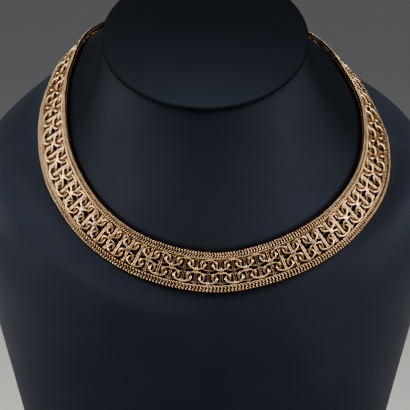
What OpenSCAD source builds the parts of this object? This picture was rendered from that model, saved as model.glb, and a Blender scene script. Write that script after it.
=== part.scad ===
// Ribbon necklace on a slanted neck bust.
// The band is a close weave of bar links and cross links between two flat
// edge chains. It lies round the neck of the bust, which stands on its base.

/* [Band] */
// Width of each edge chain
border_w = 2.8; // [2.4:0.1:3]
// Thickness of each edge chain
border_t = 2; // [1.8:0.1:2.2]
// Width of the open weave between the edge chains
window_w = 10.5; // [10.3:0.1:11]
// Bar links round the whole loop, the clasp's stretch counted
link_count = 46; // [44:1:47]
// Space between the band and the bust under it
rest_gap = 0.5; // [0.4:0.1:0.8]

/* [Links] */
// Thickness of the link wire
wire_d = 0.55; // [0.45:0.05:0.6]
// Width of an arch or a cup between the centres of its legs
arch_w = 7; // [6.8:0.1:7.1]
// Thickness of the square bars that run from border to border
bar_d = 0.55; // [0.45:0.05:0.6]
// Distance between the two bars of a pair
bar_pair = 0.7; // [0.65:0.05:0.85]
// Diameter of the star plate in the middle of a cross link
star_d = 2; // [1.6:0.1:2.2]
// Diameter of the stud that joins a cup to its bars
tip_d = 1.1; // [0.9:0.1:1.3]

/* [Clasp] */
// Length of the clasp along the band
clasp_l = 11; // [10:0.5:11.5]
// Thickness of the clasp
clasp_t = 2.2; // [2:0.1:2.4]

/* [Bust] */
// Diameter of the slanted plate that closes the neck
plate_d = 87.5; // [86:0.5:89]
// Thickness of the plate
plate_t = 3; // [2:0.5:4]
// Height of the middle of the plate
plate_z = 224.5; // [223:0.5:226]
// Slant of the plate: how far its face looks up from level
plate_slant = 50; // [47:1:53]
// Height by which the neck's front drops straight before it flares
neck_drop = 18; // [12:1:22]

/* [Hidden] */

// Route of the band's middle line, from the front by the right to the nape
// and back by the left. Lean is the angle at which the band faces upwards.
//    x    y    z    lean
route = [
    [  4, -62, 135,   20],
    [ 31, -60, 140.5, 22],
    [ 53, -46, 151.5, 28],
    [ 68, -23, 168,   38],
    [ 71,  -2, 187,   46],
    [ 65,  17, 204,   51],
    [ 54,  35, 218,   55],
    [ 31,  51, 230,   59],
    [  0,  57, 234,   61],
    [-31,  52, 231,   59],
    [-53,  39, 223,   55],
    [-62,  22, 208,   50],
    [-64,   3, 189,   46],
    [-59, -18, 170,   38],
    [-45, -39, 152,   28],
    [-24, -55, 140,   22]];

// Levels of the bust's body, from the base up. The widths are half widths,
// front and back are how far a level reaches, and the last three columns
// are its heights at the front, the sides and the back.
//    half  front back  z_front z_side z_back
levels = [
    [ 60,  -44,  46,    0,    0,    0],
    [ 68,  -53,  50,   32,   34,   36],
    [ 77,  -61,  54,   62,   69,   76],
    [ 90,  -67,  59,   86,  118,  128],
    [ 99,  -70,  64,  100,  152,  170],
    [ 98,  -70,  67,  110,  171,  198],
    [ 90,  -68,  68,  118,  179,  216]];

steps = 64;             // rings round the loop, in the borders and the bust
fine = 16;              // samples between two stations, for the length table
first_link = 2.4;       // the first cross link, from the first station
weave_gap = 0.3;        // gap between the weave and a border, or a border and the clasp
clasp_share = 0.75;     // links nearer the clasp than this share of the pitch are left out
end_room = 2;           // least length between a border's end and its next ring
bevel = 0.3*border_t;   // size of the borders' bevelled corners
band_w = window_w + 2*border_w;
bar_end = window_w/2 - weave_gap; // half length of the bars
row_low = 0.6;                    // base of the upper cups, above the middle
row_high = 4.4;                   // top of the upper arches
row_h = 4;                        // height of a ring
arch_front = 0.55;                // depths towards the front: of an arch's top,
cup_front = 0.65;                 // of a cup's base,
ring_back = -0.8;                 // of the far side of either,
bar_depth = -0.45;                // and of the bars
star_h = 1.25;                    // height of the star plate
tip_h = 1.1;                      // height of the stud
plate_r = plate_d/2;
plate_y = 7;                      // how far behind the axis the plate's middle lies
plate_gap = 0.2;                  // gap between the neck and the plate
neck_inset = 0.6;                 // the neck's edge, inside the plate's
shelf = 0.5;                      // how far the rest under the band goes past its edges
neck_oval = 1.1;                  // width of the neck's directions to their depth
front_bend = 1.5;                 // how the heights of a level bend to the front
back_bend = 0.8;                  // and to the back
back_drop = 0.6;                  // drop of the neck's back to that of its front
flare_rows = [0.7, 0.35, 0];      // rows of the neck, from the rest up to the plate
normal_up = [0, sin(plate_slant), cos(plate_slant)];
normal_out = [0, -cos(plate_slant), sin(plate_slant)];

function unit(v) = v/norm(v);

// Smooth closed curve through the stations of the route
function cubic(a, b, c, d, t) =
    0.5*(2*b + (c - a)*t + (2*a - 5*b + 4*c - d)*t*t + (3*b - a - 3*c + d)*t*t*t);
function station(i) = route[(i + 2*len(route)) % len(route)];
function along(s) = let (i = floor(s), t = s - i)
    cubic(station(i - 1), station(i), station(i + 1), station(i + 2), t);
function spot(s) = let (p = along(s)) [p[0], p[1], p[2]];

// Length along the route against the place between stations
samples = len(route)*fine;
function piece_l(i) = norm(spot((i + 1)/fine) - spot(i/fine));
length_table = [for (i = 0, s = 0; i <= samples; s = s + piece_l(i), i = i + 1)
    [s, i/fine]];
loop_l = length_table[samples][0];
function place(l) = lookup((l + loop_l) % loop_l, length_table);

// The band's frame at a length: along, across to the upper edge, outwards
function heading(s) = unit(spot(s + 0.02) - spot(s - 0.02));
function frame(l) = let (s = place(l), t = heading(s), h = unit(cross(t, [0, 0, 1])),
                         u = cross(h, t), lean = along(s)[3])
    [spot(s), t, cos(lean)*u - sin(lean)*h, cos(lean)*h + sin(lean)*u];
function at(f, v, n) = f[0] + v*f[2] + n*f[3];

// A tube through rings of n points: its wall in triangles and its two ends
function wall(rings, n) = [for (i = [0 : rings - 2], j = [0 : n - 1], k = [0, 1])
    let (a = i*n + j, b = i*n + (j + 1) % n)
    k == 0 ? [a, b + n, b] : [a, a + n, b + n]];
function ends(rings, n) = [[for (j = [0 : n - 1]) j],
                           [for (j = [n - 1 : -1 : 0]) (rings - 1)*n + j]];
module tube(rings) {
    n = len(rings[0]);
    polyhedron([for (r = rings) each r], concat(wall(len(rings), n), ends(len(rings), n)));
}

// Puts a link, drawn flat with its front towards +Z, at a length of the loop
module on_band(l) {
    f = frame(l);
    multmatrix([[f[1][0], f[2][0], f[3][0], f[0][0]],
                [f[1][1], f[2][1], f[3][1], f[0][1]],
                [f[1][2], f[2][2], f[3][2], f[0][2]],
                [0, 0, 0, 1]]) children();
}

// A flat oval with round ends, its ends' centres a straight apart
module oval(straight, h) {
    square([straight, h], center = true);
    for (side = [-1, 1]) translate([side*straight/2, 0]) circle(d = h, $fn = 48);
}

// An oval ring of square wire that leans from its front side, at height near,
// to its back side, at height far. Neighbours pass through each other's rings.
module oval_ring(near, far, near_n, far_n) {
    h = norm([far - near, far_n - near_n]);
    translate([0, (near + far)/2, (near_n + far_n)/2])
        rotate([atan2(far_n - near_n, far - near), 0, 0])
            linear_extrude(wire_d, center = true) difference() {
                oval(arch_w - h, h + wire_d);
                oval(arch_w - h, h - wire_d);
            }
}

module arch(top) { oval_ring(top, top - row_h, arch_front, ring_back); }
module cup(base) { oval_ring(base, base + row_h, cup_front, ring_back); }

module bar_pairs() {
    for (side = [-1, 1])
        translate([side*bar_pair/2, 0, bar_depth])
            cube([bar_d, 2*bar_end, bar_d], center = true);
}

// Bar link: an arch under the upper border and a cup on the lower one
module bar_link() {
    bar_pairs();
    arch(row_high);
    cup(-row_high);
    translate([0, -row_high, bar_depth]) cylinder(d = tip_d, h = tip_h, $fn = 24);
}

// Cross link: a cup above the middle and an arch below it, back to back
module cross_link() {
    bar_pairs();
    cup(row_low);
    arch(-row_low);
    translate([0, 0, bar_depth]) cylinder(d = star_d, h = star_h, $fn = 24);
}

pitch = loop_l/link_count;
clasp_at = first_link + floor(link_count/2)*pitch;
clasp_reach = clasp_l/2 + weave_gap; // half the stretch that the clasp takes
function clear_of_clasp(l) = abs(l - clasp_at) > clasp_share*pitch;

module bar_links() {
    color("goldenrod") for (i = [0 : link_count - 1]) {
        l = first_link + (i + 0.5)*pitch;
        if (clear_of_clasp(l)) on_band(l) bar_link();
    }
}

module cross_links() {
    color("gold") for (i = [0 : link_count - 1]) {
        l = first_link + i*pitch;
        if (clear_of_clasp(l)) on_band(l) cross_link();
    }
}

// Lengths of the rings round the loop. The borders leave the clasp's stretch open.
ring_l = [for (i = [0 : steps - 1]) loop_l*(i + 0.5)/steps];
border_l = [for (l = ring_l)
    if (l > clasp_reach + end_room && l < loop_l - clasp_reach - end_room) clasp_at + l];

// Frame of the band's cut end on either side of the clasp, square to the clasp
function beside_clasp(side) = let (f = frame(clasp_at))
    [f[0] + side*clasp_reach*f[1], f[1], f[2], f[3]];

// Edge chain: a flat bar with bevelled corners, across is where its middle lies
module border(across) {
    w = border_w/2;
    t = border_t/2;
    corners = [[w, t - bevel], [w - bevel, t], [bevel - w, t], [-w, t - bevel],
               [-w, bevel - t], [bevel - w, -t], [w - bevel, -t], [w, bevel - t]];
    function ring(f) = [for (p = corners) at(f, across + p[0], p[1])];
    tube(concat([ring(beside_clasp(1))], [for (l = border_l) ring(frame(l))],
                [ring(beside_clasp(-1))]));
}

module upper_border() { color("darkgoldenrod") border(window_w/2 + border_w/2); }
module lower_border() { color("darkgoldenrod") border(-window_w/2 - border_w/2); }

// Box clasp: one plain box across the band, with rounded corners
module clasp() {
    r = 1.2;
    color("goldenrod") on_band(clasp_at)
        translate([0, 0, -clasp_t/2]) linear_extrude(clasp_t)
            union() {
                square([clasp_l - 2*r, band_w], center = true);
                square([clasp_l, band_w - 2*r], center = true);
                for (x = [-1, 1], y = [-1, 1])
                    translate([x*(clasp_l/2 - r), y*(band_w/2 - r)]) circle(r, $fn = 32);
            }
}

// Rings of the bust: all have their points in the same directions round the
// neck as the band's rings have
function way(l) = let (p = spot(place(l)), q = unit([p[0]/neck_oval, p[1], 0])) [q[0], q[1]];
function level_point(r, d) =
    [r[0]*d[0], d[1] < 0 ? -r[1]*d[1] : r[2]*d[1],
     r[4] + (d[1] < 0 ? (r[3] - r[4])*pow(-d[1], front_bend)
                      : (r[5] - r[4])*pow(d[1], back_bend))];
function plate_point(d) =
    [0, plate_y, plate_z] + (plate_r - neck_inset)*(d[0]*[1, 0, 0] + d[1]*normal_up);
function flare(d, c, w) = let (
    a = plate_point(d),
    share = (1 + back_drop - (1 - back_drop)*d[1])/2,
    b = a - [0, 0, neck_drop*share])
    (1 - w)*(1 - w)*a + 2*w*(1 - w)*b + w*w*c;
function under_band(l, v) = at(frame(l), v, -border_t/2 - rest_gap);

bust_rings = concat(
    [for (r = levels) [for (l = ring_l) level_point(r, way(l))]],
    [for (v = [-1, 0, 1]) [for (l = ring_l) under_band(l, v*(band_w/2 + shelf))]],
    [for (w = flare_rows)
        [for (l = ring_l) flare(way(l), under_band(l, band_w/2 + shelf), w)]]);

module bust() { color("#23262f") tube(bust_rings); }

// Plate that closes the neck: a disc with a rounded rim
module neck_plate() {
    rim = plate_t*0.4;
    color("#2b2e38")
        translate([0, plate_y, plate_z] + plate_gap*normal_out)
            rotate([90 - plate_slant, 0, 0])
                rotate_extrude($fn = 96) union() {
                    square([plate_r - rim, plate_t]);
                    square([plate_r, plate_t - rim]);
                    translate([plate_r - rim, plate_t - rim]) circle(rim, $fn = 32);
                }
}

bust();
neck_plate();
upper_border();
lower_border();
bar_links();
cross_links();
clasp();
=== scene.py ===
import math

import bpy
import numpy as np
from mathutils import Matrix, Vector


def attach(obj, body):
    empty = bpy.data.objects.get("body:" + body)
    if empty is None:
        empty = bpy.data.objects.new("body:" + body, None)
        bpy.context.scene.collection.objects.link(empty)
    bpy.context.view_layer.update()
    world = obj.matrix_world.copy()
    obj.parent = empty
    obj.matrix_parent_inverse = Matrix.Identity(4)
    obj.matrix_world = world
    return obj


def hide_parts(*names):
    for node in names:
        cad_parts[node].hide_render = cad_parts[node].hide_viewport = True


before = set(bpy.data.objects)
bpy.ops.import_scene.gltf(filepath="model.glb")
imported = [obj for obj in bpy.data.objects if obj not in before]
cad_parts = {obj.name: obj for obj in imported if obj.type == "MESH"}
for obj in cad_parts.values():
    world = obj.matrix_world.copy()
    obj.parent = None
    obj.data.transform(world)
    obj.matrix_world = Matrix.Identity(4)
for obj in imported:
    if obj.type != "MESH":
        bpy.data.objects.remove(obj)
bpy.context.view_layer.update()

mm = 0.001
print("frame loaded:", sorted(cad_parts))

# Camera and studio, in metres

cameraSettings = {
    "target": (0, 0, 0.1554),
    "distance": 1.0,
    "elevation": 6,             # degrees above the horizon
    "lens": 209.06,             # millimetres
    "sensor": 36,               # width in millimetres
    "nearest": 0.05,            # what is closer or farther isn't seen
    "farthest": 60,
}

lightSettings = {
    # name: (place, aimed at, width, height, watts, colour)
    "leftPanel": ((-0.84, 0.06, 0.66), (0, 0, 0.16), 0.48, 0.56, 8.4, (1, 0.95, 0.87)),
    "rightPanel": ((0.84, -0.12, 0.76), (0, 0, 0.16), 0.48, 0.55, 8, (1, 0.95, 0.87)),
    "topPanel": ((0.0, -0.50, 1.15), (0, 0, 0.16), 0.60, 0.22, 3.8, (1, 0.98, 0.95)),
    "frontPanel": ((0.0, -1.70, 0.40), (0, 0, 0.14), 0.90, 0.35, 2.1, (1, 0.98, 0.96)),
}

skySettings = {
    "colour": (0.62, 0.63, 0.65, 1),
    "strength": 0.20,
}


def addObject(name, data):
    # a new object in the scene, at the origin
    thing = bpy.data.objects.new(name, data)
    bpy.context.scene.collection.objects.link(thing)
    return thing


def facing(direction):
    # the turn of a camera or panel that looks in the direction, with its top upwards
    return direction.to_track_quat("-Z", "Y").to_euler()


def makeCamera():
    # the camera stands a distance back from its target along -Y, raised by the elevation
    tilt = math.radians(cameraSettings["elevation"])
    away = Vector((0, -math.cos(tilt), math.sin(tilt)))
    data = bpy.data.cameras.new("camera")
    data.lens, data.sensor_width = cameraSettings["lens"], cameraSettings["sensor"]
    data.clip_start, data.clip_end = cameraSettings["nearest"], cameraSettings["farthest"]
    camera = addObject("camera", data)
    camera.location = Vector(cameraSettings["target"]) + away*cameraSettings["distance"]
    camera.rotation_euler = facing(-away)
    bpy.context.scene.camera = camera


def makeLight(name, place, aim, width, height, watts, colour):
    # a rectangular panel that faces the point it is aimed at
    data = bpy.data.lights.new(name, "AREA")
    data.shape, data.size, data.size_y = "RECTANGLE", width, height
    data.energy, data.color = watts, colour
    panel = addObject(name, data)
    panel.location = place
    panel.rotation_euler = facing(Vector(aim) - Vector(place))


def makeSky():
    # a weak, even light from all round
    world = bpy.data.worlds.new("studio")
    world.use_nodes = True
    background = world.node_tree.nodes["Background"]
    background.inputs["Color"].default_value = skySettings["colour"]
    background.inputs["Strength"].default_value = skySettings["strength"]
    bpy.context.scene.world = world


makeCamera()
for lightName, values in lightSettings.items():
    makeLight(lightName, *values)
makeSky()
print("camera and studio ready")

# The band's middle line and the directions along it; from here on all is in millimetres

bandSettings = {
    "windowWidth": 10.5,        # the open weave between the two borders
    "borderWidth": 2.8,
    "borderThickness": 2.0,
    "linkCount": 46,            # links of each kind, if the clasp left room for them all
    "firstLink": 2.4,           # length at which the first cross link stands
    "restGap": 0.5,             # from the borders' back to the bust
    "claspLength": 11.0,
    "claspGap": 0.3,            # from a border's end to the clasp
}

# x, y, z and lean in degrees of the stations, from the front by the right to the nape and back
route = np.array([
    [4, -62, 135, 20], [31, -60, 140.5, 22], [53, -46, 151.5, 28], [68, -23, 168, 38],
    [71, -2, 187, 46], [65, 17, 204, 51], [54, 35, 218, 55], [31, 51, 230, 59],
    [0, 57, 234, 61], [-31, 52, 231, 59], [-53, 39, 223, 55], [-62, 22, 208, 50],
    [-64, 3, 189, 46], [-59, -18, 170, 38], [-45, -39, 152, 28], [-24, -55, 140, 22]], float)
measuredSteps = 16              # to a station, for the band's length
aimStep = 0.02                  # stations each way, for the band's direction


def unit(v):
    # vectors brought to the length 1
    return v/np.linalg.norm(v, axis=-1, keepdims=True)


def bandCurve(s):
    # place and lean at s stations: a cubic from station b to c, whose slope at each of them is
    # half the way from the station before to the one after
    i = np.floor(s).astype(int)
    t = (s - i)[..., None]
    a, b, c, d = (route[(i + k) % len(route)] for k in (-1, 0, 1, 2))
    return 0.5*(2*b + (c - a)*t + (2*a - 5*b + 4*c - d)*t**2 + (3*b - a - 3*c + d)*t**3)


stationPlaces = np.arange(measuredSteps*len(route) + 1)/measuredSteps
stepLengths = np.linalg.norm(np.diff(bandCurve(stationPlaces)[:, :3], axis=0), axis=1)
stationLengths = np.concatenate([[0], np.cumsum(stepLengths)])
loopLength = stationLengths[-1]


def bandFrame(l):
    # at a length along the band: the place on its middle line, and the directions along it,
    # across it and outwards; the last two are turned from upright and level by the lean
    s = np.interp(np.mod(l, loopLength), stationLengths, stationPlaces)
    here = bandCurve(s)
    along = unit(bandCurve(s + aimStep)[..., :3] - bandCurve(s - aimStep)[..., :3])
    level = unit(np.cross(along, [0.0, 0.0, 1.0]))
    upright = np.cross(level, along)
    lean = np.radians(here[..., 3:4])
    return (here[..., :3], along, np.cos(lean)*upright - np.sin(lean)*level,
            np.cos(lean)*level + np.sin(lean)*upright)


def bandPoints(lvn):
    # (length, across, out) to (x, y, z): the middle line at the length, plus v times across,
    # plus n times out
    place, _, across, out = bandFrame(lvn[..., 0])
    return place + lvn[..., 1:2]*across + lvn[..., 2:3]*out


pitch = loopLength/bandSettings["linkCount"]
claspAt = bandSettings["firstLink"] + bandSettings["linkCount"]//2*pitch
bandWidth = bandSettings["windowWidth"] + 2*bandSettings["borderWidth"]
windowEdge = bandSettings["windowWidth"]/2
print("band: %.1f mm long, %.2f mm from link to link" % (loopLength, pitch))

# Surfaces as arrays: a shape is points, quads and triangles, and a toned shape also has a tone
# from 0 to 1 for every point, which its material reads; on most pieces the tone is painted shade


def wholeTurn(count):
    # evenly spaced angles of a whole turn
    return np.arange(count)/count*2*np.pi


def climb(value, low, high):
    # 0 up to low, then in a straight line to 1 at high
    return np.clip((value - low)/(high - low), 0, 1)


def squared(value, power):
    # a sine or cosine raised to the power with its sign kept; under 1 it squares a round outline
    return np.sign(value)*np.abs(value)**power


def ringQuads(rows, cols, closed=False):
    # quads between rings of cols points each, and if closed, from the last ring to the first;
    # they face outwards where the rings turn anticlockwise as seen from the last one
    i, j = np.meshgrid(np.arange(rows - (not closed)), np.arange(cols), indexing="ij")
    i, j = i.ravel(), j.ravel()
    a, b = (i + 1) % rows, (j + 1) % cols
    return np.stack([i*cols + j, i*cols + b, a*cols + b, a*cols + j], 1)


def capped(grid, start, end):
    # rings joined by quads, the first one closed to the point start and the last to end
    rows, cols = grid.shape[:2]
    first = np.arange(cols)
    last = (rows - 1)*cols + first
    tris = np.concatenate([
        np.stack([np.roll(first, -1), first, np.full(cols, rows*cols)], 1),
        np.stack([last, np.roll(last, -1), np.full(cols, rows*cols + 1)], 1)])
    return np.concatenate([grid.reshape(-1, 3), [start], [end]]), ringQuads(rows, cols), tris


def turned(profile, cols):
    # (radius, height) pairs, bottom first, turned round the third axis
    turn = wholeTurn(cols)
    r, h = np.array(profile, float).T
    grid = np.stack([np.outer(r, np.cos(turn)), np.outer(r, np.sin(turn)),
                     np.outer(h, np.ones(cols))], 2)
    return capped(grid, (0, 0, h[0]), (0, 0, h[-1]))


def ball(rows, cols):
    # a unit ball, its poles on the first axis: rings of radius sin(up) at -cos(up)
    up = np.linspace(0, np.pi, rows + 2)[1:-1]
    turn = wholeTurn(cols)
    grid = np.stack([np.outer(-np.cos(up), np.ones(cols)), np.outer(np.sin(up), np.cos(turn)),
                     np.outer(np.sin(up), np.sin(turn))], 2)
    return capped(grid, (-1, 0, 0), (1, 0, 0))


def tube(path, side, width, depth, sides, closed=False, power=1.0):
    # an oval section carried along a path: the place, plus width times cos(turn) to the side,
    # plus depth times sin(turn) square to the side and the path; a power under 1 squares it
    if closed:
        along = unit(np.roll(path, -1, 0) - np.roll(path, 1, 0))
    else:
        along = unit(np.gradient(path, axis=0))
    out = unit(np.cross(along, side))
    side = np.cross(out, along)
    turn = wholeTurn(sides)
    wide = np.outer(width*np.ones(len(path)), squared(np.cos(turn), power))
    deep = np.outer(depth*np.ones(len(path)), squared(np.sin(turn), power))
    grid = path[:, None] + wide[..., None]*side[:, None] + deep[..., None]*out[:, None]
    if closed:
        return grid.reshape(-1, 3), ringQuads(len(path), sides, True), np.zeros((0, 3), int)
    return capped(grid, path[0], path[-1])


def toned(shape, low, high, brightest=1.0):
    # painted shade: the tone grows from 0 at the depth low to the brightest at high, so the deeper
    # parts are painted darker
    return (*shape, climb(shape[0][:, 2], low, high)*brightest)


def joined(parts):
    # several toned shapes as one
    starts = np.cumsum([0] + [len(part[0]) for part in parts])
    return (np.concatenate([part[0] for part in parts]),
            np.concatenate([part[1] + start for part, start in zip(parts, starts)]),
            np.concatenate([part[2] + start for part, start in zip(parts, starts)]),
            np.concatenate([part[3] for part in parts]))


def repeated(shape, lengths):
    # a toned shape drawn round the length 0, set again at each of the lengths
    points, quads, tris, tones = shape
    shift = np.stack([lengths, 0*lengths, 0*lengths], 1)
    starts = np.arange(len(lengths))[:, None, None]*len(points)
    return ((points[None] + shift[:, None]).reshape(-1, 3), (quads[None] + starts).reshape(-1, 4),
            (tris[None] + starts).reshape(-1, 3), np.tile(tones, len(lengths)))


def makePiece(name, shape, material, node):
    # a toned shape as a mesh in metres that rides on the part's only body
    points, quads, tris, tones = shape
    mesh = bpy.data.meshes.new(name)
    mesh.from_pydata((points*mm).tolist(), [], quads.tolist() + tris.tolist())
    mesh.polygons.foreach_set("use_smooth", np.ones(len(mesh.polygons), bool))
    attribute = mesh.attributes.new("tone", "FLOAT", "POINT")
    attribute.data.foreach_set("value", np.asarray(tones, np.float32))
    mesh.materials.append(material)
    mesh.update()
    piece = addObject(name, mesh)
    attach(piece, "root")
    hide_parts(node)
    print("%s: %d triangles" % (name, 2*len(quads) + len(tris)))


# Materials: the noises' scales are waves to a metre, and depths are in metres

goldSettings = {
    "clouds": (260, 3, 0.55),       # scale, detail and roughness of a noise
    "cloudShift": 0.16,             # how far the clouds move the tone up and down
    "scratches": (2600, 4, 0.65),
    "scratchDepth": 0.00005,
}

# (tone, colour) stops of the painted shade, from the dark brown of the deepest parts to the bright
# front faces
linkColours = [(0.0, (0.05, 0.018, 0.008)), (0.3, (0.33, 0.27, 0.17)),
               (0.45, (0.45, 0.27, 0.14)), (0.75, (0.81, 0.49, 0.24)), (1.0, (1.0, 0.71, 0.38))]
chainColours = [(0.0, (0.02, 0.009, 0.004)), (0.3, (0.22, 0.13, 0.07)),
                (0.5, (0.58, 0.37, 0.20)), (0.75, (0.92, 0.58, 0.30)), (1.0, (1.0, 0.71, 0.40))]

goldFinishes = {
    # name: (colours, least and most roughness, strength of the scratches)
    "linkGold": (linkColours, (0.12, 0.26), 0.20),
    "chainGold": (chainColours, (0.14, 0.30), 0.25),
    "claspGold": (linkColours, (0.14, 0.30), 0.20),
}

leatherSettings = {
    "clouds": (22, 3, 0.55),
    "cellScale": 1900,
    "fineGrain": (4750, 3, 0.55),
    "fineShare": 0.4,               # of the fine grain in the height
    "grainDepth": 0.0003,
    "grainStrength": 0.2,
    "dullRoughness": 0.35,          # added where the tone is 0
    "tint": (0.62, 0.78, 1, 1),     # of the sheen
    # (tone, colour) stops of the painted shade: brown where the tone is 0, under the band, and
    # near black a little above it
    "paintedShadeColours": [(0.0, (0.009, 0.0032, 0.001)), (0.18, (0.0006, 0.0008, 0.0012))],
}

leatherFinishes = {
    # name: (colours by the clouds, least and most roughness, level of the sheen)
    "bustLeather": ([(0.3, (0.0198, 0.0248, 0.0376)), (0.7, (0.0272, 0.0336, 0.0502))],
                    (0.42, 0.58), 0.06),
    "plateLeather": ([(0.3, (0.0158, 0.021, 0.0315)), (0.7, (0.022, 0.029, 0.0425))],
                     (0.42, 0.54), 0.05),
}

noiseRange = (0.3, 0.7)             # most of a noise lies between these


def newMaterial(name):
    # a material, its node tree and its shader
    material = bpy.data.materials.new(name)
    material.use_nodes = True
    return material, material.node_tree, material.node_tree.nodes["Principled BSDF"]


def setInputs(tree, node, values):
    # an input is linked where its value is another node's socket, and otherwise set
    for key, value in values.items():
        if isinstance(value, bpy.types.NodeSocket):
            tree.links.new(value, node.inputs[key])
        else:
            node.inputs[key].default_value = value


def addNode(tree, kind, values, **options):
    # a new node, its options set before its inputs
    node = tree.nodes.new(kind)
    for key, value in options.items():
        setattr(node, key, value)
    setInputs(tree, node, values)
    return node


def objectPlace(tree):
    # the place on the piece, in metres
    return addNode(tree, "ShaderNodeTexCoord", {}).outputs["Object"]


def toneOf(tree):
    # the tone that the piece's points carry
    return addNode(tree, "ShaderNodeAttribute", {}, attribute_name="tone").outputs["Fac"]


def noise(tree, place, scale, detail, rough):
    # soft clouds from 0 to 1, with finer ones over them
    return addNode(tree, "ShaderNodeTexNoise", {
        "Vector": place, "Scale": scale, "Detail": detail, "Roughness": rough}).outputs["Fac"]


def ramp(tree, value, stops):
    # the colour at the value's place between the (place, colour) stops
    node = addNode(tree, "ShaderNodeValToRGB", {"Fac": value})
    while len(node.color_ramp.elements) < len(stops):
        node.color_ramp.elements.new(0.5)
    for element, (place, colour) in zip(node.color_ramp.elements, stops):
        element.position = place
        element.color = (*colour, 1)
    return node.outputs["Color"]


def spread(tree, value, low, high, source=(0.0, 1.0)):
    # the source's range carried to that from low to high, and held there
    return addNode(tree, "ShaderNodeMapRange", {
        "Value": value, "From Min": source[0], "From Max": source[1],
        "To Min": low, "To Max": high}).outputs["Result"]


def added(tree, first, second):
    # the sum of two values
    return addNode(tree, "ShaderNodeMath", {0: first, 1: second}, operation="ADD").outputs["Value"]


def bumped(tree, height, strength, depth):
    # the normal tilted by the slope of a height, which is the depth where it is 1
    return addNode(tree, "ShaderNodeBump", {
        "Height": height, "Strength": strength, "Distance": depth}).outputs["Normal"]


def goldMaterial(name, colours, roughness, scratching):
    # metal whose colour follows the tone, which is painted shade, plus slow clouds, with fine
    # scratches in its roughness and bump
    material, tree, shader = newMaterial(name)
    place = objectPlace(tree)
    clouds = noise(tree, place, *goldSettings["clouds"])
    shift = goldSettings["cloudShift"]
    # the painted shade of the tone, moved up and down at random by the clouds
    shadeAndWear = added(tree, toneOf(tree), spread(tree, clouds, -shift, shift, noiseRange))
    scratches = noise(tree, place, *goldSettings["scratches"])
    setInputs(tree, shader, {
        "Base Color": ramp(tree, shadeAndWear, colours),
        "Metallic": 1,
        "Roughness": spread(tree, scratches, *roughness, noiseRange),
        "Normal": bumped(tree, scratches, scratching, goldSettings["scratchDepth"])})
    return material


def leatherMaterial(name, colours, roughness, sheen):
    # dark leatherette: the grain's height is a cell pattern plus a share of a fine noise, and
    # where the tone is low the clouded colour gives way to painted shade and the sheen goes dull
    material, tree, shader = newMaterial(name)
    place, tone = objectPlace(tree), toneOf(tree)
    clouds = noise(tree, place, *leatherSettings["clouds"])
    # inputs 6 and 7 of a mix node are its two colours, and output 2 is the mixed one
    # painted shade where the tone is low, the clouded colour where it is 1
    colour = addNode(tree, "ShaderNodeMix", {
        0: tone, 6: ramp(tree, tone, leatherSettings["paintedShadeColours"]),
        7: ramp(tree, clouds, colours)}, data_type="RGBA").outputs[2]
    cells = addNode(tree, "ShaderNodeTexVoronoi", {
        "Vector": place, "Scale": leatherSettings["cellScale"]}, feature="SMOOTH_F1")
    fine = noise(tree, place, *leatherSettings["fineGrain"])
    height = addNode(tree, "ShaderNodeMath", {
        0: fine, 1: leatherSettings["fineShare"], 2: cells.outputs["Distance"]},
        operation="MULTIPLY_ADD").outputs["Value"]
    setInputs(tree, shader, {
        "Base Color": colour,
        "Roughness": added(tree, spread(tree, fine, *roughness, noiseRange),
                           spread(tree, tone, leatherSettings["dullRoughness"], 0.0)),
        "Specular IOR Level": sheen,
        "Specular Tint": leatherSettings["tint"],
        "Normal": bumped(tree, height, leatherSettings["grainStrength"],
                         leatherSettings["grainDepth"])})
    return material


golds = {name: goldMaterial(name, *values) for name, values in goldFinishes.items()}
leathers = {name: leatherMaterial(name, *values) for name, values in leatherFinishes.items()}
print("materials ready")

# Bust: rings from the foot up, under the band and over the flared neck, and the plate that
# closes the neck

plateSettings = {
    "place": (0, 7, 224.5),     # middle of the neck's top
    "slant": 50,                # degrees that it looks up from straight ahead
    "diameter": 87.5,
    "thickness": 3.0,
    "crown": 1.5,               # how far the face falls off at the rim
    "rim": 1.3,                 # radius of the rounded rim
    "seam": 0.2,                # open, between the neck and the plate
    "backRings": (2, 0.25),     # how far inside its edge the flat back's two rings are
    "innerRing": 0.5,           # radius of the face's last ring
    "faceRings": 25,
    "rimRings": 9,
    "around": 160,
    # tones of the painted shade: the upper edge's, the power by which it grows to 1 at the lower
    # edge, and the rim's, which grows to 1 over a width in millimetres
    "topTone": 0.2,
    "topPower": 2.8,
    "rimTone": 0.3,
    "rimWidth": 1.2,
}

bustSettings = {
    # half width, front reach, back reach, height at the front, at the sides, at the back
    "levels": [
        (60, -44, 46, 0, 0, 0), (68, -53, 50, 32, 34, 36), (77, -61, 54, 62, 69, 76),
        (90, -67, 59, 86, 118, 128), (99, -70, 64, 100, 152, 170), (98, -70, 67, 110, 171, 198),
        (90, -68, 68, 118, 179, 216)],
    "frontPower": 1.5,          # how a level's height bends from the sides to the front
    "backPower": 0.8,
    "broader": 1.1,             # how much broader than deep the loop is, from above
    "shelf": 0.5,               # how far the rest goes past the band's edges
    "neckInset": 0.6,           # from the plate's edge to the neck's
    "neckDrop": 18,             # of the neck's front, before it flares
    "backDrop": 0.6,            # the same for its back, as a share of the front's
    "around": 256,
    "levelRings": 10,           # from one level to the next
    "neckRings": 25,
    "softenings": 14,           # along the profile
    "roundings": 60,            # round the body
    "roundedRings": (52, 62),   # in full up to the first, and not at all from the second on
    # tones of the painted shade: the foot's, which grows to 1 between two heights, and what the
    # body's front, the neck's front and the neck's high sides lose; the sides' loss grows as the
    # band beside them climbs between two heights, and shrinks towards the nape to a share of
    # itself
    "footTone": 0.52,
    "footHeights": (30, 130),
    "bodyLoss": 0.28,
    "neckLoss": 0.47,
    "sideLoss": 0.82,
    "sideHeights": (150, 182),
    "napeShare": 0.2,
    "napePlaces": (0.5, 5/6),
    "lossPower": 6,             # how narrowly the fronts' losses are kept to the middle
}

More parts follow.
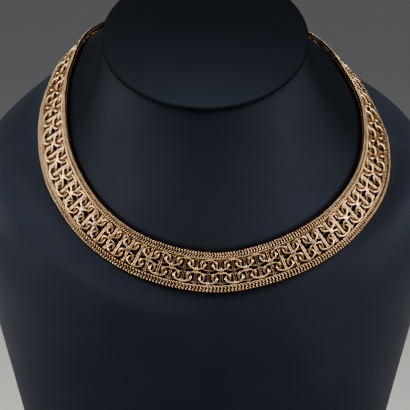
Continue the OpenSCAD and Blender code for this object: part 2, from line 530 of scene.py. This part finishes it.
slant = math.radians(plateSettings["slant"])
plateAcross = np.array([1.0, 0.0, 0.0])
plateUp = np.array([0, math.sin(slant), math.cos(slant)])
plateOut = np.array([0, -math.cos(slant), math.sin(slant)])
platePlace = np.array(plateSettings["place"], float)
plateRadius = plateSettings["diameter"]/2


def levelRing(level, way):
    # an ellipse with its own reach at the front and back; its height goes from the side's to
    # the front's or the back's by a power of how far round it is
    half, front, back, zFront, zSide, zBack = level
    ahead, behind = np.clip(-way[:, 1], 0, 1), np.clip(way[:, 1], 0, 1)
    z = (zSide + (zFront - zSide)*ahead**bustSettings["frontPower"]
         + (zBack - zSide)*behind**bustSettings["backPower"])
    return np.stack([half*way[:, 0], front*ahead + back*behind, z], 1)


def underBand(lengths, v):
    # points under the band, clear of it by the rest gap
    n = -bandSettings["borderThickness"]/2 - bandSettings["restGap"]
    return bandPoints(np.stack([lengths, 0*lengths + v, 0*lengths + n], 1))


def bustRings(lengths, way):
    # straight from level to level and under the band, then a curve of the second degree from
    # the rest's upper edge by the neck's drop to the plate
    levels = [levelRing(level, way) for level in bustSettings["levels"]]
    edge = bandWidth/2 + bustSettings["shelf"]
    knots = levels + [underBand(lengths, v) for v in (-edge, 0, edge)]
    w = (np.arange(bustSettings["levelRings"])/bustSettings["levelRings"])[:, None, None]
    body = [(1 - w)*a + w*b for a, b in zip(knots[:-1], knots[1:])]
    top = platePlace + (plateRadius - bustSettings["neckInset"])*(
        way[:, :1]*plateAcross + way[:, 1:]*plateUp)
    backDrop = bustSettings["backDrop"]
    drop = bustSettings["neckDrop"]*(1 + backDrop - (1 - backDrop)*way[:, 1:])/2
    below = top - drop*[0, 0, 1]
    w = np.linspace(1, 0, bustSettings["neckRings"] + 1)[:, None, None]
    neck = (1 - w)**2*top + 2*w*(1 - w)*below + w**2*knots[-1]
    return np.concatenate(body + [neck])


def softened(grid, axis, share, times):
    # each time a point moves by its share of the way to half itself plus a quarter of each
    # neighbour
    for _ in range(times):
        soft = 0.25*np.roll(grid, 1, axis) + 0.5*grid + 0.25*np.roll(grid, -1, axis)
        grid = grid + share*(soft - grid)
    return grid


def bustTones(grid, middle, way):
    # painted shade: the foot, far from the lights, and the fronts and the neck's high sides, which
    # face the dark, are painted darker; under the band lies a painted shadow, tinted brown
    lower = bustSettings["levelRings"]*len(bustSettings["levels"])
    upper = lower + 2*bustSettings["levelRings"]
    front = np.clip(-way[:, 1], 0, 1)**bustSettings["lossPower"]
    foot = climb(grid[..., 2], *bustSettings["footHeights"])
    least = bustSettings["footTone"]
    body = (least + (1 - least)*foot)*(1 - bustSettings["bodyLoss"]*front)
    high = climb(middle[:, 2], *bustSettings["sideHeights"])
    nape = climb(way[:, 1], *bustSettings["napePlaces"])
    sideLoss = bustSettings["sideLoss"]*high*(1 - (1 - bustSettings["napeShare"])*nape)
    neck = 1 - sideLoss - bustSettings["neckLoss"]*front
    tones = np.where(np.arange(len(grid))[:, None] < upper, body, neck)
    # the painted shadow under the band, brown
    tones[lower + 1:upper] = 0
    return tones


def makeBust():
    # the rings are softened along the profile, but for the first two and the last three, and
    # then round the body, which takes out the crease at its sides
    count = bustSettings["around"]
    lengths = loopLength*(np.arange(count) + 0.5)/count
    middle = bandFrame(lengths)[0]
    way = unit(middle[:, :2]/[bustSettings["broader"], 1])      # outwards, seen from above
    grid = bustRings(lengths, way)
    ring = np.arange(len(grid))[:, None, None]
    free = (ring > 1) & (ring < len(grid) - 3)
    grid = softened(grid, 0, free, bustSettings["softenings"])
    body = 1 - climb(ring, *bustSettings["roundedRings"])
    grid = softened(grid, 1, body, bustSettings["roundings"])
    tones = np.concatenate([bustTones(grid, middle, way).ravel(), [1, 1]])
    shape = (*capped(grid, grid[0].mean(0), grid[-1].mean(0)), tones)
    makePiece("bust_cover", shape, leathers["bustLeather"], "bust")


def makePlate():
    # a disc whose face falls off by the crown times the fourth power of its radius, to a rim
    # that is a quarter of a circle
    thickness, crown, rim = (plateSettings[key] for key in ("thickness", "crown", "rim"))
    r = np.linspace(plateRadius - rim, plateSettings["innerRing"],
                    plateSettings["faceRings"] + 1)[1:]
    face = np.stack([r, thickness - crown*(r/plateRadius)**4], 1)
    bend = np.linspace(np.pi/2, 0, plateSettings["rimRings"])
    edge = np.stack([plateRadius - rim + rim*np.sin(bend),
                     thickness - crown - rim + rim*np.cos(bend)], 1)
    back = [(plateRadius - inwards, 0) for inwards in plateSettings["backRings"]]
    flat, quads, tris = turned(np.concatenate([back, edge, face]), plateSettings["around"])
    points = (platePlace + flat[:, :1]*plateAcross + flat[:, 1:2]*plateUp
              + (flat[:, 2:] + plateSettings["seam"])*plateOut)
    # painted shade: darker towards the upper edge, and darker again near the rim
    down = climb(-flat[:, 1], -plateRadius, plateRadius)
    inwards = plateRadius - np.hypot(flat[:, 0], flat[:, 1])
    least = plateSettings["topTone"]
    tones = least + (1 - least)*down**plateSettings["topPower"]
    tones *= np.clip(inwards/plateSettings["rimWidth"], plateSettings["rimTone"], 1)
    makePiece("plate_cover", (points, quads, tris, tones), leathers["plateLeather"],
              "neck_plate")


makeBust()
makePlate()
print("bust ready")

# Links: drawn flat as (along, across, out) round their middle, then bent onto the band

linkSettings = {
    "upperRow": (1.0, 4.8),     # across: a cup's base and an arch's top
    "lowerRow": (-4.6, -0.25),
    "ringWidth": 6.7,           # between the middles of its legs
    "ringReach": 4.0,           # from an arch's top down, or from a cup's base up
    "ringBack": -0.8,           # depth of a ring's far side
    "square": 2.35,             # how square the rings are: 2 is an oval
    "wire": 0.29,               # radius
    # front is the near side's depth, the wire swells by the shares wider and deeper, and a shade,
    # painted into the colour, is the depth of tone 0, that of the brightest tone, and that tone
    "arch": {"front": 0.55, "wider": 0.85, "deeper": 0.0, "backPower": 0.9,
             "shade": (-1.0, 0.4, 0.9)},
    "cup": {"front": 0.65, "wider": 0.80, "deeper": 0.35, "backPower": 1.7,
            "shade": (-1.0, 0.3, 1.0)},
    "swellAt": 0.42,            # share of the way back
    "swellSpread": 0.24,
    "dip": 0.25,                # of a cross link's rings, towards the lower border
    "dipSpread": 1.1,
    "ringPoints": 52,
    "ringSides": 10,
    "barSpacing": 0.72,
    "barReach": 5.35,
    "barDepth": -0.45,
    "barWire": 0.21,            # radius
    "barSquare": 0.45,          # power of its section: 1 is round
    "barPoints": 13,
    "barSides": 12,
    "barShade": (-1.0, -0.3, 0.8),
    # (radius, height) pairs of the plate where a cross link's cup and arch meet
    "star": [(0.9, -0.5), (1.0, -0.4), (1.0, 0.46), (0.9, 0.58), (0.8, 0.6), (0.4, 0.6)],
    "starAt": 0.38,             # across
    "starSides": 20,
    "starShade": (-0.5, 0.4, 0.85),
    "stud": (0.5, 0.42, 0.34),  # half sizes of the small stud on a cup's base
    "studAt": 0.3,              # from the base
    "studHeight": 0.62,
    "studRings": 7,
    "studSides": 10,
    "studShade": (-0.3, 0.7, 1.0),
    "claspRoom": 0.75,          # pitches each way from the clasp's middle without a link
}


def ring(kind, near, dip=0.0):
    # a closed loop of wire along a squared oval: the share of the way is 0 at its near side
    # and 1 at its far side, v grows by the reach with it, and n goes back from the front by
    # its power; the near side dips in the middle, and the wire swells round one share
    shape = linkSettings[kind]
    reach = linkSettings["ringReach"]*(-1 if kind == "arch" else 1)
    turn = wholeTurn(linkSettings["ringPoints"])
    power = 2/linkSettings["square"]
    share = (1 - squared(np.sin(turn), power))/2
    u = linkSettings["ringWidth"]/2*squared(np.cos(turn), power)
    v = near + reach*share - dip*np.exp(-(u/linkSettings["dipSpread"])**2)*(1 - share)**4
    n = shape["front"] + (linkSettings["ringBack"] - shape["front"])*share**shape["backPower"]
    path = np.stack([u, v, n], 1)
    swell = np.exp(-((share - linkSettings["swellAt"])/linkSettings["swellSpread"])**2)
    along = unit(np.roll(path, -1, 0) - np.roll(path, 1, 0))
    wire = tube(path, unit(np.cross(along, [0.0, 0.0, 1.0])),
                linkSettings["wire"]*(1 + shape["wider"]*swell),
                linkSettings["wire"]*(1 + shape["deeper"]*swell), linkSettings["ringSides"], True)
    return toned(wire, *shape["shade"])


def bars():
    # two squarish wires side by side, straight from border to border
    parts = []
    v = np.linspace(-linkSettings["barReach"], linkSettings["barReach"], linkSettings["barPoints"])
    for side in (-1, 1):
        path = np.stack([0*v + side*linkSettings["barSpacing"]/2, v,
                         0*v + linkSettings["barDepth"]], 1)
        bar = tube(path, [1, 0, 0], linkSettings["barWire"], linkSettings["barWire"],
                   linkSettings["barSides"], power=linkSettings["barSquare"])
        parts.append(toned(bar, *linkSettings["barShade"]))
    return parts


def star():
    # a flat round plate with a bevelled edge
    points, quads, tris = turned(linkSettings["star"], linkSettings["starSides"])
    return toned((points + [0, linkSettings["starAt"], 0], quads, tris),
                 *linkSettings["starShade"])


def bead(centre, radii, rows, cols, turn=0.0, tilt=0.0, taper=0.0):
    # a ball stretched to its radii and thicker by the taper at its first end, then lifted by
    # the tilt and turned in the band's plane, both as (x cos - y sin, x sin + y cos)
    points, quads, tris = ball(rows, cols)
    thick = 1 - taper*points[:, 0]
    x, y, z = points[:, 0]*radii[0], points[:, 1]*radii[1]*thick, points[:, 2]*radii[2]*thick
    x, z = x*math.cos(tilt) - z*math.sin(tilt), x*math.sin(tilt) + z*math.cos(tilt)
    x, y = x*math.cos(turn) - y*math.sin(turn), x*math.sin(turn) + y*math.cos(turn)
    return np.stack([x, y, z], 1) + centre, quads, tris


def stud(base):
    # a small stud on a cup's base
    centre = (0, base + linkSettings["studAt"], linkSettings["studHeight"])
    return toned(bead(centre, linkSettings["stud"], linkSettings["studRings"],
                      linkSettings["studSides"]), *linkSettings["studShade"])


def makeLinks():
    # a bar link has its arch above and its cup below; a cross link has them back to back, with
    # the star between them
    (upperCup, upperArch), (lowerCup, lowerArch) = (
        linkSettings["upperRow"], linkSettings["lowerRow"])
    dip = linkSettings["dip"]
    barLink = joined(bars() + [ring("arch", upperArch), ring("cup", lowerCup), stud(lowerCup)])
    crossLink = joined(bars() + [ring("cup", upperCup, dip), ring("arch", lowerArch, dip), star(),
                                 stud(upperCup)])
    index = np.arange(bandSettings["linkCount"])
    # the bar links stand half a pitch on from the cross links
    for name, shape, offset, node in (("bar_link_weave", barLink, 0.5, "bar_links"),
                                      ("cross_link_weave", crossLink, 0.0, "cross_links")):
        lengths = bandSettings["firstLink"] + (index + offset)*pitch
        lengths = lengths[np.abs(lengths - claspAt) > linkSettings["claspRoom"]*pitch]
        points, *rest = repeated(shape, lengths)
        makePiece(name, (bandPoints(points), *rest), golds["linkGold"], node)


makeLinks()
print("links ready")

# Edge chains: a row of long grains and a row of short ones meet in chevrons over a groove whose
# floor is painted dark as shade, between an inner wire and a scalloped rim

chainSettings = {
    "stitches": 8,              # to a link
    # distance from the window's edge, height, half sizes, turn from the band's length in degrees,
    # tilt, how much thicker the first end is, and what the painted shade darkens: its long sides
    # or its ends
    "grains": [
        (0.88, 0.56, (0.84, 0.25, 0.22), 62, -0.05, 0.25, "sides"),
        (1.90, 0.56, (0.54, 0.24, 0.22), 122, 0.04, -0.25, "sides"),
        (2.46, 0.38, (0.42, 0.32, 0.38), 14, 0, 0, "ends")],        # the rim's beads
    "grainRings": 5,
    "grainSides": 8,
    "grainShade": (0.38, 0.62),     # depths of tone 0 and 1
    # how dark the painted shade makes a grain's sides or ends
    "darkening": 0.95,
    # distance from the window's edge, height, half width, half depth and brightest tone
    "rods": [
        (0.24, 0.10, 0.20, 0.20, 0.85), (0.30, -0.50, 0.30, 0.30, 0.85),
        (2.32, -0.58, 0.33, 0.33, 0.45),
        (1.40, -0.08, 1.20, 0.50, 0.0)],                # the groove's floor, painted dark all over as shade
    "rodShade": (-1.3, -0.7),
    "rodStep": 1.6,
    "rodSides": 8,
}

claspReach = bandSettings["claspLength"]/2 + bandSettings["claspGap"]
chainStart, chainEnd = claspAt + claspReach, claspAt + loopLength - claspReach


def chainLengths(step):
    # the middles of even steps, as near to the given one as the chain's length allows
    count = int(round((chainEnd - chainStart)/step))
    return chainStart + (chainEnd - chainStart)*(np.arange(count) + 0.5)/count


def grain(side, apart, height, radii, turn, tilt, taper, dark):
    # a bead over the groove with painted shade: darker with depth, and darker by the square of the
    # distance from its middle
    turn = side*math.radians(turn)
    place = side*(windowEdge + apart)
    shape = bead((0, place, height), radii, chainSettings["grainRings"],
                 chainSettings["grainSides"], turn, tilt, taper)
    *shape, tones = toned(shape, *chainSettings["grainShade"])
    across, radius = (turn + math.pi/2, radii[1]) if dark == "sides" else (turn, radii[0])
    off = shape[0][:, 0]*math.cos(across) + (shape[0][:, 1] - place)*math.sin(across)
    darkness = chainSettings["darkening"]*np.clip(off/radius, -1, 1)**2
    return (*shape, tones*(1 - darkness))


def makeChain(name, side, node):
    # side is 1 for the upper chain and -1 for the lower one, which is its mirror image
    stitch = joined([grain(side, *values) for values in chainSettings["grains"]])
    parts = [repeated(stitch, chainLengths(pitch/chainSettings["stitches"]))]
    l = np.concatenate([[chainStart], chainLengths(chainSettings["rodStep"]), [chainEnd]])
    for apart, height, wide, deep, tone in chainSettings["rods"]:
        path = np.stack([l, 0*l + side*(windowEdge + apart), 0*l + height], 1)
        rod = tube(path, [0, 1, 0], wide, deep, chainSettings["rodSides"])
        parts.append(toned(rod, *chainSettings["rodShade"], tone))
    points, *rest = joined(parts)
    makePiece(name, (bandPoints(points), *rest), golds["chainGold"], node)


makeChain("upper_edge_chain", 1, "upper_border")
makeChain("lower_edge_chain", -1, "lower_border")
print("edge chains ready")

# Clasp: a plain box with rounded corners

claspSettings = {
    "thickness": 2.2,
    "cornerPower": 0.22,        # the lower, the squarer
    "edgePower": 0.5,
    "tone": 0.85,
    "rings": 46,
    "around": 72,
}


def makeClasp():
    # a ball with its sines and cosines raised to low powers, which makes it a soft box; it
    # stays straight, with the band's directions at its own middle
    corner, half = claspSettings["cornerPower"], claspSettings["thickness"]/2
    up = np.linspace(-np.pi/2, np.pi/2, claspSettings["rings"] + 2)[1:-1]
    turn = wholeTurn(claspSettings["around"])
    size = squared(np.cos(up), corner)
    u = np.outer(size, squared(np.cos(turn), corner))*bandSettings["claspLength"]/2
    v = np.outer(size, squared(np.sin(turn), corner))*bandWidth/2
    n = np.outer(squared(np.sin(up), claspSettings["edgePower"]), np.ones(len(turn)))*half
    points, quads, tris = capped(np.stack([u, v, n], 2), (0, 0, -half), (0, 0, half))
    place, along, across, out = bandFrame(np.array([claspAt]))
    world = place + points[:, :1]*along + points[:, 1:2]*across + points[:, 2:]*out
    tones = np.full(len(points), claspSettings["tone"])
    makePiece("box_clasp", (world, quads, tris, tones), golds["claspGold"], "clasp")


makeClasp()

# Floor: no part of the object

floorSettings = {
    "reach": 20,                # metres each way
    "colour": (0.72, 0.72, 0.71, 1),
    "roughness": 0.7,
}


def makeFloor():
    # one large flat square under the foot, plain and pale
    size = floorSettings["reach"]
    mesh = bpy.data.meshes.new("floor")
    mesh.from_pydata([(-size, -size, 0), (size, -size, 0), (size, size, 0), (-size, size, 0)], [],
                     [(0, 1, 2, 3)])
    material, tree, shader = newMaterial("paleFloor")
    setInputs(tree, shader, {"Base Color": floorSettings["colour"],
                             "Roughness": floorSettings["roughness"]})
    mesh.materials.append(material)
    addObject("floor", mesh)


makeFloor()
print("all pieces ready")
